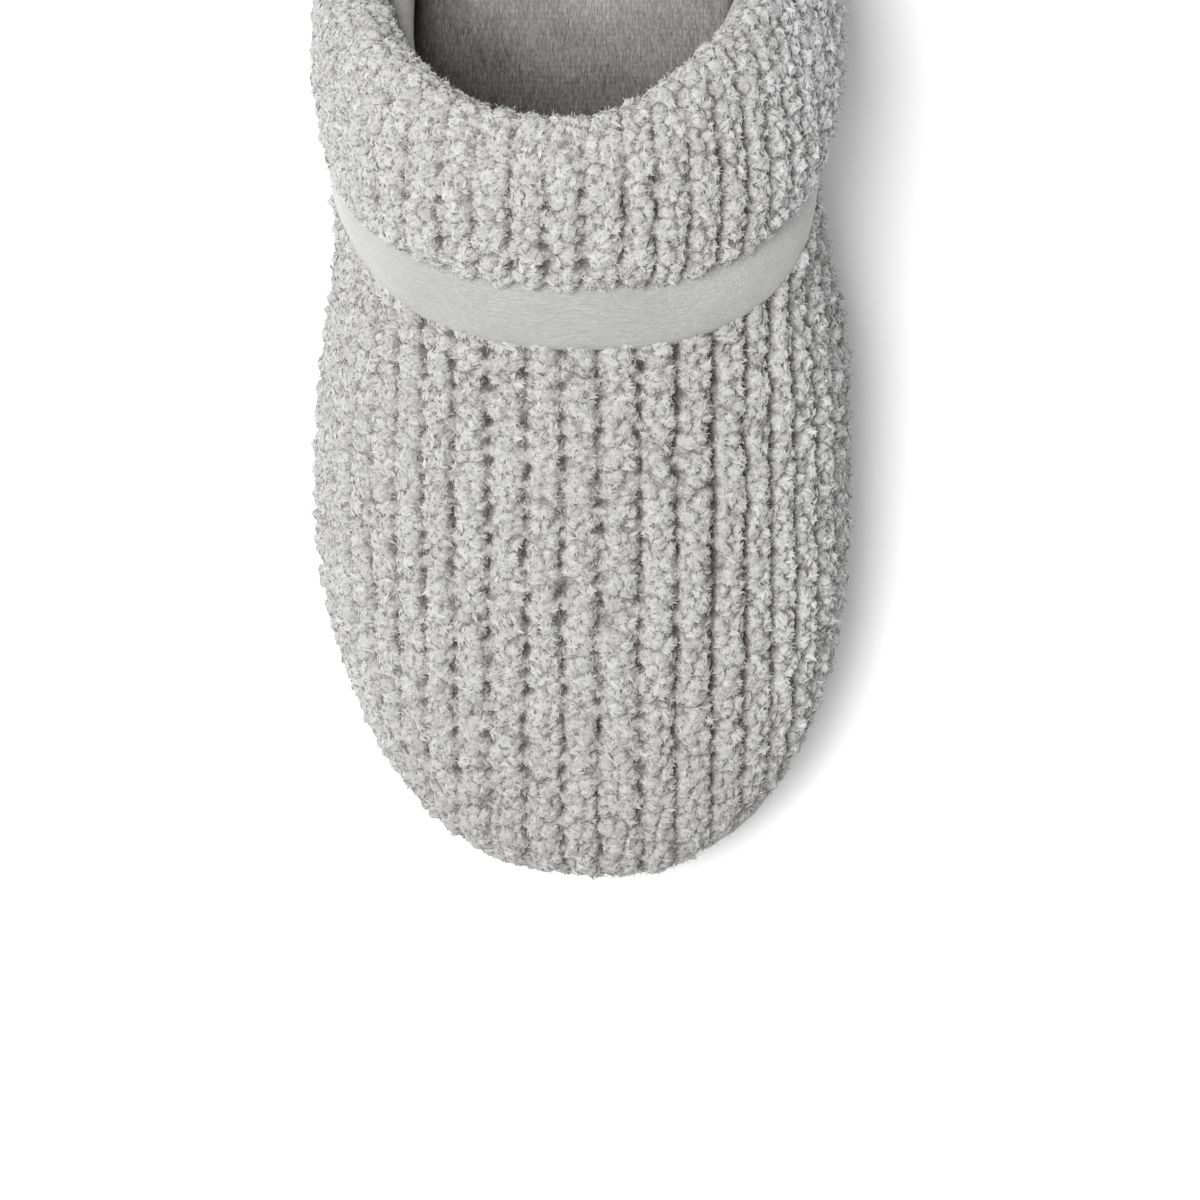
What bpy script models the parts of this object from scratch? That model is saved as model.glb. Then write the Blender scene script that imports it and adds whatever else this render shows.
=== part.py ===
"""A right-foot scuff slipper: an open-backed knit upper with a turned-down cuff on a padded sole.

Metres, +Z up, the toe towards -Y. The big-toe side is +X. Stations are measured back from the toe tip.
"""

import math
from collections import namedtuple

import bmesh
import bpy

MM = 0.001

# Driving sizes
LENGTH = 258 * MM
BALL_WIDTH = 103 * MM
INSTEP_HEIGHT = 78 * MM
WALL = 3.5 * MM
GAP = 0.3 * MM

# Toe of the upper: it closes as a dome from the ball section forward
TOE_TIP_HEIGHT = 19 * MM
TOE_SLOPE = 0.20
TOE_LATERAL_POWER = 2.15
TOE_MEDIAL_POWER = 2.35

# Sole outline and levels
SOLE_TIP = 0.8 * MM
SOLE_LATERAL_POWER = 2.15
SOLE_MEDIAL_POWER = 3.0
HEEL_POWER = 2.3
SOLE_THICKNESS = 6.5 * MM
HEEL_LIFT = 2.5 * MM
TOE_SPRING = 4.0 * MM
HEEL_SPRING = 1.4 * MM
WAIST_RISE = 2.0 * MM
FOREFOOT_FLAT = (60 * MM, 126 * MM)
HEEL_FLAT = (194 * MM, 244 * MM)
FEATHER_INSET = 1.5 * MM

# Tread: bowed grooves across the forefoot and the heel
GROOVE_WIDTH = 2.6 * MM
GROOVE_DEPTH = 1.5 * MM
GROOVE_PITCH = 8.0 * MM
GROOVE_BOW = 4.0 * MM
GROOVE_EDGE = 9.0 * MM
FOREFOOT_GROOVES = 8
HEEL_GROOVES = 5

# Padded insole
INSOLE_THICKNESS = 9.0 * MM
INSOLE_EDGE = 0.45 * MM
INSOLE_HEEL_EDGE = 1.4 * MM
INSOLE_CUP = 1.6 * MM

# Widths as shares of the ball width, heights as shares of the instep height
Section = namedtuple(
    "Section", "station lateral medial sole_lateral sole_medial crest ridge fullness"
)
SECTIONS = (
    Section(0.287, 0.498, 0.502, 0.456, 0.462, 0.282, 0.705, 2.25),  # ball
    Section(0.399, 0.492, 0.497, 0.450, 0.456, 0.295, 0.801, 2.20),  # band
    Section(0.504, 0.458, 0.447, 0.417, 0.404, 0.321, 0.923, 2.10),  # instep
    Section(0.562, 0.440, 0.430, 0.394, 0.373, 0.333, 1.000, 1.95),  # throat
    Section(0.678, 0.418, 0.412, 0.361, 0.342, 0.346, 1.154, 1.80),  # waist
    Section(0.798, 0.398, 0.394, 0.346, 0.340, 0.346, 1.308, 1.75),  # back of the sides
    Section(0.860, 0.388, 0.388, 0.346, 0.346, 0.346, 1.385, 1.75),  # heel
)
BALL = SECTIONS[0].station * LENGTH
HEEL = SECTIONS[-1].station * LENGTH

# Lines across the upper: stations on the ridge and where each side meets the sole, and the sweep between
Line = namedtuple("Line", "ridge lateral medial lateral_power medial_power")
RIM = Line(139 * MM, 205 * MM, 205 * MM, 1.7, 1.15)
CUFF_EDGE = Line(112 * MM, 164 * MM, 177 * MM, 1.55, 1.65)
BAND_EDGE = Line(101 * MM, 156 * MM, 170 * MM, 1.55, 1.75)
LINE_ROUND = 0.12

# Girth position 0 is the ridge, CREST_AT the widest level, 1 the sole
CREST_AT = 0.8
TUCK = math.radians(62)

# Cuff profile: share of the way from the free edge to the rim, reach past the rim, height off the upper
CuffPoint = namedtuple("CuffPoint", "share past height")
CUFF = (
    CuffPoint(0.05, 0.0, GAP),
    CuffPoint(0.01, 0.0, 2.0 * MM),
    CuffPoint(0.01, 0.0, 4.4 * MM),
    CuffPoint(0.10, 0.0, 6.4 * MM),
    CuffPoint(0.30, 0.0, 7.7 * MM),
    CuffPoint(0.55, 0.0, 8.0 * MM),
    CuffPoint(0.78, 0.0, 7.3 * MM),
    CuffPoint(0.94, 0.0, 6.0 * MM),
    CuffPoint(1.00, 2.9 * MM, 3.6 * MM),
    CuffPoint(1.00, 4.4 * MM, 0.6 * MM),
    CuffPoint(1.00, 4.2 * MM, -2.2 * MM),
    CuffPoint(1.00, 2.4 * MM, -4.0 * MM),
    CuffPoint(1.00, GAP, -WALL),
    CuffPoint(1.00, GAP, GAP),
)
SIDE_TAPER = 0.7

# Band profile: share of the way from its lower edge to the cuff, height off the upper
BandPoint = namedtuple("BandPoint", "share height")
BAND = (
    BandPoint(0.02, GAP),
    BandPoint(0.00, 1.2 * MM),
    BandPoint(0.10, 2.2 * MM),
    BandPoint(0.32, 2.9 * MM),
    BandPoint(0.68, 2.9 * MM),
    BandPoint(0.95, 1.6 * MM),
    BandPoint(0.95, GAP),
)

# Mesh steps
UPPER_ROWS = 30
CAP_STEPS = 28
TUCK_STEPS = 4
STRIP_STEPS = 44
ARC_STEPS = 12
SIDE_STEPS = 16


def clear_scene():
    for obj in list(bpy.data.objects):
        bpy.data.objects.remove(obj, do_unlink=True)


def ease(value, start, end):
    """0 before start, 1 after end, smooth between."""
    share = min(max((value - start) / (end - start), 0.0), 1.0)
    return share * share * (3 - 2 * share)


def section_value(station, column):
    """A column of SECTIONS at this station, smooth between the rows."""
    stations = [row.station * LENGTH for row in SECTIONS]
    values = [getattr(row, column) for row in SECTIONS]
    if station <= stations[0]:
        return values[0]
    if station >= stations[-1]:
        return values[-1]
    at = max(i for i in range(len(stations) - 1) if stations[i] <= station)

    def slope(i):
        low = max(i - 1, 0)
        high = min(i + 1, len(stations) - 1)
        return (values[high] - values[low]) / (stations[high] - stations[low])

    span = stations[at + 1] - stations[at]
    t = (station - stations[at]) / span
    rise = (2 * t - 3) * t * t
    return (
        values[at] * (1 + rise)
        - values[at + 1] * rise
        + slope(at) * span * t * (1 - t) ** 2
        - slope(at + 1) * span * t * t * (1 - t)
    )


def round_end(distance, depth, power):
    """Share of the full width at this distance from the end of a rounded outline."""
    share = min(max(1 - distance / depth, 0.0), 1.0)
    return max(1 - share**power, 0.0) ** (1 / power)


def sole_bottom(station):
    """Height of the sole's underside: toe spring, two flats, a raised waist between them."""
    toe_start, toe_end = 0.0, FOREFOOT_FLAT[0]
    toe = max(1 - (station - toe_start) / (toe_end - toe_start), 0.0) ** 2
    heel = max((station - HEEL_FLAT[1]) / (LENGTH - HEEL_FLAT[1]), 0.0) ** 2
    waist = 0.0
    if FOREFOOT_FLAT[1] < station < HEEL_FLAT[0]:
        along = (station - FOREFOOT_FLAT[1]) / (HEEL_FLAT[0] - FOREFOOT_FLAT[1])
        waist = math.sin(math.pi * along) ** 2
    return TOE_SPRING * toe + HEEL_SPRING * heel + WAIST_RISE * waist


def sole_top(station):
    """Height of the sole's upper side, which rises to the heel."""
    toe = max(1 - station / FOREFOOT_FLAT[0], 0.0) ** 2
    return SOLE_THICKNESS + TOE_SPRING * toe + HEEL_LIFT * ease(station, BALL, HEEL)


def outline_point(side, turn, inset):
    """(x, station) on the toe arc of the sole outline; turn runs from 0 at the tip to 90 degrees."""
    power = SOLE_MEDIAL_POWER if side > 0 else SOLE_LATERAL_POWER
    column = "sole_medial" if side > 0 else "sole_lateral"
    half = section_value(BALL, column) * BALL_WIDTH - inset
    depth = BALL - SOLE_TIP - inset
    forward = max(math.cos(turn), 0.0) ** (2 / power)
    return side * half * math.sin(turn) ** (2 / power), BALL - depth * forward


def sole_half(station, side):
    column = "sole_medial" if side > 0 else "sole_lateral"
    return section_value(station, column) * BALL_WIDTH


def upper_half(station, side, outset):
    """Half the width of the upper at its widest level, outset from its outer face."""
    power = TOE_MEDIAL_POWER if side > 0 else TOE_LATERAL_POWER
    column = "medial" if side > 0 else "lateral"
    half = section_value(station, column) * BALL_WIDTH + outset
    if station >= BALL:
        return half
    return half * round_end(station + outset, BALL + outset, power)


def crest_height(station):
    ball_crest = SECTIONS[0].crest * INSTEP_HEIGHT
    if station < BALL:
        share = max(station, 0.0) / BALL
        return TOE_TIP_HEIGHT + (ball_crest - TOE_TIP_HEIGHT) * share
    return section_value(station, "crest") * INSTEP_HEIGHT


def ridge_height(station, outset):
    if station >= BALL:
        return section_value(station, "ridge") * INSTEP_HEIGHT + outset
    dome = SECTIONS[0].ridge * INSTEP_HEIGHT - TOE_TIP_HEIGHT - TOE_SLOPE * BALL + outset
    dome *= round_end(station + outset, BALL + outset, 2.0)
    return TOE_TIP_HEIGHT + dome + TOE_SLOPE * max(station, 0.0)


def feather_point(station, side, outset):
    """(x, station) where the upper meets the sole, for the widest point at this station."""
    inset = FEATHER_INSET - outset
    if station >= BALL:
        return side * (sole_half(station, side) - inset), station
    power = TOE_MEDIAL_POWER if side > 0 else TOE_LATERAL_POWER
    forward = min(max((BALL - station) / (BALL + outset), 0.0), 1.0)
    return outline_point(side, math.acos(forward ** (power / 2)), inset)


def upper_point(station, girth, outset):
    """A point of the upper's outer face, or of the surface that stands outset away from it.

    girth runs from -1 at the lateral sole edge through 0 on the ridge to 1 at the medial sole edge.
    """
    side = 1 if girth >= 0 else -1
    half = upper_half(station, side, outset)
    crest = crest_height(station)
    if abs(girth) <= CREST_AT:
        turn = (1 - abs(girth) / CREST_AT) * math.pi / 2
        power = 2 / section_value(station, "fullness")
        x = side * half * max(math.cos(turn), 0.0) ** power
        z = crest + (ridge_height(station, outset) - crest) * math.sin(turn) ** power
        return place(x, station, z)
    turn = (abs(girth) - CREST_AT) / (1 - CREST_AT) * TUCK
    foot_x, foot_station = feather_point(station, side, outset)
    foot_z = sole_top(foot_station) + GAP
    inward = (1 - math.cos(turn)) / (1 - math.cos(TUCK))
    down = math.sin(turn) / math.sin(TUCK)
    x = side * half + (foot_x - side * half) * inward
    back = station + (foot_station - station) * inward
    return place(x, back, crest + (foot_z - crest) * down)


def place(x, station, z):
    return (x, station - LENGTH / 2, z)


def line_station(line, girth):
    """Station of a line across the upper, level where it crosses the ridge."""
    reach = girth * girth * (1 + LINE_ROUND) / (abs(girth) + LINE_ROUND)
    if girth > 0:
        return line.ridge + (line.medial - line.ridge) * reach**line.medial_power
    return line.ridge + (line.lateral - line.ridge) * reach**line.lateral_power


def girth_steps():
    """Girth positions of the upper's mesh, close together in the tuck under the crest."""
    cap = [CREST_AT * (2 * i / CAP_STEPS - 1) for i in range(CAP_STEPS + 1)]
    tuck = [CREST_AT + (1 - CREST_AT) * (i + 1) / TUCK_STEPS for i in range(TUCK_STEPS)]
    return [-value for value in reversed(tuck)] + cap + tuck


def make_object(name, points, faces, colour, roughness):
    """A closed body with its own material, joined where points coincide."""
    mesh = bpy.data.meshes.new(name)
    shape = bmesh.new()
    corners = [shape.verts.new(point) for point in points]
    for face in faces:
        shape.faces.new([corners[i] for i in face])
    bmesh.ops.remove_doubles(shape, verts=shape.verts, dist=0.00002)
    bmesh.ops.dissolve_degenerate(shape, edges=shape.edges, dist=0.00001)
    bmesh.ops.recalc_face_normals(shape, faces=shape.faces)
    for face in shape.faces:
        face.smooth = True
    shape.to_mesh(mesh)
    shape.free()
    obj = bpy.data.objects.new(name, mesh)
    bpy.context.collection.objects.link(obj)
    material = bpy.data.materials.new(name + "_finish")
    material.use_nodes = True
    finish = material.node_tree.nodes["Principled BSDF"]
    finish.inputs["Base Color"].default_value = (*colour, 1.0)
    finish.inputs["Roughness"].default_value = roughness
    mesh.materials.append(material)
    return obj


def grid_faces(start, rows, columns, close_rows=False):
    """Quads of a grid of points stored row by row from start; close_rows joins the last row to the first."""
    faces = []
    for row in range(rows if close_rows else rows - 1):
        below = start + row * columns
        above = start + (row + 1) % rows * columns
        for column in range(columns - 1):
            faces.append((below + column, below + column + 1, above + column + 1, above + column))
    return faces


def make_upper():
    girths = girth_steps()
    columns = len(girths)
    rows = UPPER_ROWS + 1
    points = []
    for outset in (0.0, -WALL):
        for row in range(rows):
            share = (row / UPPER_ROWS) ** 1.5
            for girth in girths:
                station = -outset + (line_station(RIM, girth) + outset) * share
                points.append(upper_point(station, girth, outset))
    inner = rows * columns
    faces = grid_faces(0, rows, columns) + grid_faces(inner, rows, columns)
    rim = (rows - 1) * columns
    for column in range(columns - 1):
        at = rim + column
        faces.append((at, at + 1, inner + at + 1, inner + at))
    for row in range(rows - 1):
        for column in (0, columns - 1):
            at = row * columns + column
            faces.append((at, at + columns, inner + at + columns, inner + at))
    return make_object("upper", points, faces, (0.55, 0.54, 0.53), 0.95)


def strip_girths():
    return [2 * i / STRIP_STEPS - 1 for i in range(STRIP_STEPS + 1)]


def close_strip(points, rows, columns):
    """Faces of a closed strip: the profile rows around it and a cap at each end."""
    faces = grid_faces(0, rows, columns, close_rows=True)
    faces.append([row * columns for row in range(rows)])
    faces.append([row * columns + columns - 1 for row in range(rows)])
    return faces


def tapered(height, girth):
    """Height off the upper, drawn in towards the sole so that a strip ends on its edge."""
    if height <= GAP:
        return height
    return GAP + (height - GAP) * (1 - SIDE_TAPER * ease(abs(girth), CREST_AT - 0.1, 1.0))


def make_cuff():
    girths = strip_girths()
    points = []
    for profile in CUFF:
        for girth in girths:
            low = line_station(CUFF_EDGE, girth)
            high = line_station(RIM, girth)
            station = low + (high - low) * profile.share + profile.past
            points.append(upper_point(station, girth, tapered(profile.height, girth)))
    faces = close_strip(points, len(CUFF), len(girths))
    return make_object("cuff", points, faces, (0.55, 0.54, 0.53), 0.95)


def make_band():
    girths = strip_girths()
    points = []
    for profile in BAND:
        for girth in girths:
            low = line_station(BAND_EDGE, girth)
            high = line_station(CUFF_EDGE, girth)
            station = low + (high - low) * profile.share
            points.append(upper_point(station, girth, tapered(profile.height, girth)))
    faces = close_strip(points, len(BAND), len(girths))
    return make_object("band", points, faces, (0.48, 0.47, 0.47), 0.8)


def outline(inset_at, steps):
    """Ring of (x, station) round the sole from the toe tip along the medial side; inset_at gives the inset."""
    sides = {}
    for side in (1, -1):
        run = []
        for i in range(1, steps + 1):
            run.append(outline_point(side, i / steps * math.pi / 2, inset_at(0.0)))
        for i in range(1, SIDE_STEPS + 1):
            station = BALL + (HEEL - BALL) * i / SIDE_STEPS
            run.append((side * (sole_half(station, side) - inset_at(station)), station))
        half = sole_half(HEEL, side) - inset_at(LENGTH)
        depth = LENGTH - HEEL - inset_at(LENGTH)
        for i in range(1, steps):
            turn = i / steps * math.pi / 2
            width = math.cos(turn) ** (2 / HEEL_POWER)
            run.append((side * half * width, HEEL + depth * math.sin(turn) ** (2 / HEEL_POWER)))
        sides[side] = run
    toe = (0.0, SOLE_TIP + inset_at(0.0))
    heel = (0.0, LENGTH - inset_at(LENGTH))
    return [toe] + sides[1] + [heel] + sides[-1][::-1]


def ring_faces(rings, count):
    """Faces of a stack of rings with a top and a bottom sheet of cross strips."""
    faces = []
    for ring in range(rings - 1):
        for i in range(count):
            near = ring * count + i
            far = ring * count + (i + 1) % count
            faces.append((near, far, far + count, near + count))
    half = count // 2
    for start in (0, (rings - 1) * count):
        faces.append((start, start + 1, start + count - 1))
        for i in range(1, half - 1):
            faces.append((start + i, start + i + 1, start + count - i - 1, start + count - i))
        faces.append((start + half - 1, start + half, start + half + 1))
    return faces


def make_outsole():
    # Share of the thickness from bottom to top, and inset from the outline
    levels = (
        (0.00, 1.2 * MM),
        (0.16, 0.2 * MM),
        (0.44, 0.0),
        (0.52, 0.7 * MM),
        (0.64, 0.7 * MM),
        (0.72, 0.0),
        (0.94, 0.0),
        (1.00, 0.5 * MM),
    )
    points = []
    for share, inset in levels:
        ring = outline(lambda station, inset=inset: inset, ARC_STEPS)
        for x, station in ring:
            low = sole_bottom(station)
            points.append(place(x, station, low + (sole_top(station) - low) * share))
    faces = ring_faces(len(levels), len(points) // len(levels))
    sole = make_object("outsole", points, faces, (0.30, 0.29, 0.29), 0.7)
    cut = sole.modifiers.new("tread", "BOOLEAN")
    cut.operation = "DIFFERENCE"
    cut.solver = "EXACT"
    cut.object = make_grooves()
    return sole


def make_grooves():
    """The cutter for the tread: bowed bars that reach up into the underside."""
    points = []
    faces = []
    steps = 6
    rows = [FOREFOOT_FLAT[0] + GROOVE_PITCH * (i + 0.5) for i in range(FOREFOOT_GROOVES)]
    rows += [HEEL_FLAT[0] + GROOVE_PITCH * (i + 1) for i in range(HEEL_GROOVES)]
    for row in rows:
        start = len(points)
        left = sole_half(row, -1) - GROOVE_EDGE
        right = sole_half(row, 1) - GROOVE_EDGE
        for z in (-GROOVE_DEPTH, GROOVE_DEPTH):
            for edge in (-0.5, 0.5):
                for i in range(steps + 1):
                    x = -left + (left + right) * i / steps
                    bow = GROOVE_BOW * (2 * i / steps - 1) ** 2
                    points.append(place(x, row + bow + edge * GROOVE_WIDTH, z))
        columns = steps + 1
        faces += grid_faces(start, 2, columns) + grid_faces(start + 2 * columns, 2, columns)
        for edge in (0, columns):
            for i in range(steps):
                at = start + edge + i
                faces.append((at, at + 1, at + 1 + 2 * columns, at + 2 * columns))
        for end in (0, steps):
            at = start + end
            faces.append((at, at + columns, at + 3 * columns, at + 2 * columns))
    cutter = make_object("tread_cutter", points, faces, (0.2, 0.2, 0.2), 0.8)
    cutter.hide_render = True
    cutter.display_type = "WIRE"
    return cutter


def make_insole():
    """Footbed inside the upper, full width behind it, cupped at the heel."""
    inside = FEATHER_INSET + WALL + INSOLE_EDGE
    # Share of the thickness, and inset from the footbed's own outline
    levels = (
        (0.00, 1.0 * MM),
        (0.18, 0.0),
        (0.62, 0.0),
        (0.84, 1.0 * MM),
        (0.96, 2.8 * MM),
        (1.00, 5.5 * MM),
        (1.00, 12.0 * MM),
    )
    points = []
    for level, (share, inset) in enumerate(levels):

        def edge(station, inset=inset):
            behind = ease(station, RIM.lateral + 2 * MM, RIM.lateral + 26 * MM)
            return inset + inside + (INSOLE_HEEL_EDGE - inside) * behind

        for x, station in outline(edge, ARC_STEPS):
            base = sole_top(station) + GAP
            top = INSOLE_THICKNESS
            if level == len(levels) - 1:
                top -= INSOLE_CUP * ease(station, FOREFOOT_FLAT[1], HEEL)
            points.append(place(x, station, base + top * share))
    faces = ring_faces(len(levels), len(points) // len(levels))
    return make_object("insole", points, faces, (0.30, 0.28, 0.29), 0.95)


def main():
    clear_scene()
    make_outsole()
    make_insole()
    make_upper()
    make_band()
    make_cuff()


main()
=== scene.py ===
import math

import bpy
import numpy as np
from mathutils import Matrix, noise


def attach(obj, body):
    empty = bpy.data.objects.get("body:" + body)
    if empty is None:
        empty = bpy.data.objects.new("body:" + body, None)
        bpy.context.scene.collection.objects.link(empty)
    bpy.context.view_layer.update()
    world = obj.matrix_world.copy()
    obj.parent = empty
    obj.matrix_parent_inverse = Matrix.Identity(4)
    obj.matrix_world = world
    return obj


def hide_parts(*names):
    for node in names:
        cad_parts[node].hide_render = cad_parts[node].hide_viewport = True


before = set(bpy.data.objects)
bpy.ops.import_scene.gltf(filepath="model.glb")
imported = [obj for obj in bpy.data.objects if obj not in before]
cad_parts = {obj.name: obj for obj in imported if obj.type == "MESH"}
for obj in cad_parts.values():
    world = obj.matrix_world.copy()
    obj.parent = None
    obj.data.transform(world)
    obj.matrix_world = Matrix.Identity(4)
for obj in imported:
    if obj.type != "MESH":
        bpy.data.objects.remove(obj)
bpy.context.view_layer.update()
scene = bpy.context.scene
mm = 0.001
weldGap = 0.00001  # metres
samples = {"sections": 900, "ridge": 2000, "grooves": 321, "profile": 40}  # points read off each curve
rng = np.random.default_rng(11)
thin = 1.0

# the form the slipper is lasted on, in millimetres, stations counted from the toe tip
last = {
    "length": 258.0, "ballWidth": 103.0, "instep": 78.0, "wall": 3.5, "gap": 0.3,
    "toeTip": 19.0, "toeSlope": 0.20, "toePower": (2.15, 2.35),
    "soleTip": 0.8, "solePower": (2.15, 3.0), "soleThick": 6.5,
    "heelLift": 2.5, "toeSpring": 4.0, "springEnd": 60.0, "featherInset": 1.5,
    "crestAt": 0.8, "tuck": math.radians(62), "lineRound": 0.12,
}
# station, upper lateral, upper medial, sole lateral, sole medial, crest, ridge, fullness
sectionRows = np.array([
    (0.287, 0.498, 0.502, 0.456, 0.462, 0.282, 0.705, 2.25),
    (0.399, 0.492, 0.497, 0.450, 0.456, 0.295, 0.801, 2.20),
    (0.504, 0.458, 0.447, 0.417, 0.404, 0.321, 0.923, 2.10),
    (0.562, 0.440, 0.430, 0.394, 0.373, 0.333, 1.000, 1.95),
    (0.678, 0.418, 0.412, 0.361, 0.342, 0.346, 1.154, 1.80),
    (0.798, 0.398, 0.394, 0.346, 0.340, 0.346, 1.308, 1.75),
    (0.860, 0.388, 0.388, 0.346, 0.346, 0.346, 1.385, 1.75),
])
columnNames = ("station", "lateral", "medial", "soleLateral", "soleMedial", "crest", "ridge", "fullness")
# stations on the ridge, at the lateral sole edge, at the medial one, and the two sweeps
lines = {
    "rim": (139.0, 205.0, 205.0, 1.7, 1.15),
    "cuffEdge": (112.0, 164.0, 177.0, 1.55, 1.65),
    "bandEdge": (101.0, 156.0, 170.0, 1.55, 1.75),
}


# the section rows joined by smooth curves
def sectionTable():
    stations = sectionRows[:, 0] * last["length"]
    dense = np.linspace(stations[0], stations[-1], samples["sections"])
    at = np.clip(np.searchsorted(stations, dense, side="right") - 1, 0, len(stations) - 2)
    span = stations[at + 1] - stations[at]
    t = (dense - stations[at]) / span
    table = {"station": dense}
    low = np.maximum(np.arange(len(stations)) - 1, 0)
    high = np.minimum(np.arange(len(stations)) + 1, len(stations) - 1)
    for i, name in enumerate(columnNames[1:], 1):
        values = sectionRows[:, i]
        slope = (values[high] - values[low]) / (stations[high] - stations[low])
        rise = (2 * t - 3) * t * t
        table[name] = (values[at] * (1 + rise) - values[at + 1] * rise
                       + slope[at] * span * t * (1 - t) ** 2 - slope[at + 1] * span * t * t * (1 - t))
    return table


sections = sectionTable()
ballAt = sections["station"][0]
heelAt = sections["station"][-1]


def column(name, station):
    return np.interp(station, sections["station"], sections[name])


def ease(value, start, end):
    t = np.clip((value - start) / (end - start), 0, 1)
    return t * t * (3 - 2 * t)


def easeUp(value, least, start, end):
    return least + (1 - least) * ease(value, start, end)


def fadeEnds(value, start, end):
    return ease(value, *start) * (1 - ease(value, *end))


def between(ends, share):
    return ends[0] + (ends[1] - ends[0]) * share


def roundEnd(distance, depth, power):
    share = np.clip(1 - distance / depth, 0, 1)
    return np.clip(1 - share ** power, 0, None) ** (1 / power)


def soleTop(station):
    toe = np.clip(1 - station / last["springEnd"], 0, None) ** 2
    return last["soleThick"] + last["toeSpring"] * toe + last["heelLift"] * ease(station, ballAt, heelAt)


# a point of the upper's outer face, or of a surface standing off it
# girth is -1 and 1 at the sole, 0 on the ridge
def lastPoint(station, girth, outset):
    station, girth, outset = np.broadcast_arrays(station, girth, outset)
    medial = girth >= 0
    side = np.where(medial, 1.0, -1.0)
    power = np.where(medial, last["toePower"][1], last["toePower"][0])
    toe = station < ballAt
    half = np.where(medial, column("medial", station), column("lateral", station))
    half = half * last["ballWidth"] + outset
    half = np.where(toe, half * roundEnd(station + outset, ballAt + outset, power), half)
    ballCrest = column("crest", ballAt) * last["instep"]
    forward = np.clip(station, 0, None)
    crest = np.where(toe, last["toeTip"] + (ballCrest - last["toeTip"]) * forward / ballAt,
                     column("crest", station) * last["instep"])
    dome = column("ridge", ballAt) * last["instep"] - last["toeTip"] - last["toeSlope"] * ballAt + outset
    dome = dome * roundEnd(station + outset, ballAt + outset, 2.0)
    ridge = np.where(toe, last["toeTip"] + dome + last["toeSlope"] * forward,
                     column("ridge", station) * last["instep"] + outset)
    reach = np.abs(girth)
    # over the crest
    turn = np.clip(1 - reach / last["crestAt"], 0, 1) * math.pi / 2
    bend = 2 / column("fullness", station)
    x = side * half * np.clip(np.cos(turn), 0, None) ** bend
    y = station.astype(float)
    z = crest + (ridge - crest) * np.sin(turn) ** bend
    # tucked in below it
    turn = np.clip((reach - last["crestAt"]) / (1 - last["crestAt"]), 0, 1) * last["tuck"]
    inset = last["featherInset"] - outset
    soleHalf = np.where(medial, column("soleMedial", station), column("soleLateral", station))
    soleHalf = soleHalf * last["ballWidth"]
    solePower = np.where(medial, last["solePower"][1], last["solePower"][0])
    toeTurn = np.arccos(np.clip((ballAt - station) / (ballAt + outset), 0, 1) ** (power / 2))
    footX = np.where(toe, (soleHalf - inset) * np.sin(toeTurn) ** (2 / solePower), soleHalf - inset) * side
    depth = ballAt - last["soleTip"] - inset
    footY = np.where(toe, ballAt - depth * np.clip(np.cos(toeTurn), 0, None) ** (2 / solePower), station)
    footZ = soleTop(footY) + last["gap"]
    inward = (1 - np.cos(turn)) / (1 - math.cos(last["tuck"]))
    down = np.sin(turn) / math.sin(last["tuck"])
    under = reach > last["crestAt"]
    x = np.where(under, side * half + (footX - side * half) * inward, x)
    y = np.where(under, station + (footY - station) * inward, y)
    z = np.where(under, crest + (footZ - crest) * down, z)
    return np.stack([x, y - last["length"] / 2, z], -1)


def lineStation(name, girth):
    ridge, lateral, medial, lateralPower, medialPower = lines[name]
    reach = girth * girth * (1 + last["lineRound"]) / (np.abs(girth) + last["lineRound"])
    return np.where(girth > 0, ridge + (medial - ridge) * reach ** medialPower,
                    ridge + (lateral - ridge) * reach ** lateralPower)


# how far round the section a point lies from the ridge: the ribs run along lines of equal distance
ribRows, ribColumns = 216, 401  # a row each millimetre from the toe, a column each 0.005 of girth
ridgeColumn = ribColumns // 2
ribGrid = lastPoint(np.arange(ribRows, dtype=float)[:, None], np.linspace(-1, 1, ribColumns)[None, :], 0.0)
ribStep = np.linalg.norm(np.diff(ribGrid, axis=1), axis=2)
ribReach = np.concatenate([np.zeros((ribRows, 1)), np.cumsum(ribStep, axis=1)], axis=1)
ribReach -= ribReach[:, ridgeColumn:ridgeColumn + 1]


def ribAcross(station, girth):
    row = np.clip(station, 0, ribRows - 1.001)
    col = np.clip((girth + 1) * ridgeColumn, 0, ribColumns - 1.001)
    i, j = row.astype(int), col.astype(int)
    a, b = row - i, col - j
    return ((ribReach[i, j] * (1 - b) + ribReach[i, j + 1] * b) * (1 - a)
            + (ribReach[i + 1, j] * (1 - b) + ribReach[i + 1, j + 1] * b) * a)


def softNoise(points, scale, seed):
    shifted = points / scale + seed * np.array([17.3, 5.1, 9.7])
    return np.array([noise.noise(p) for p in shifted])


# the usual sine hash: one number from 0 to 1 for each number given
def scatter(numbers, seed):
    return np.abs(np.sin(numbers * 127.1 + seed * 311.7) * 43758.5453) % 1.0


def unit(vectors):
    return vectors / (np.linalg.norm(vectors, axis=-1, keepdims=True) + 1e-9)


def arcLength(points):
    steps = np.linalg.norm(np.diff(points, axis=0), axis=1)
    return np.concatenate([[0], np.cumsum(steps)])


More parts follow.
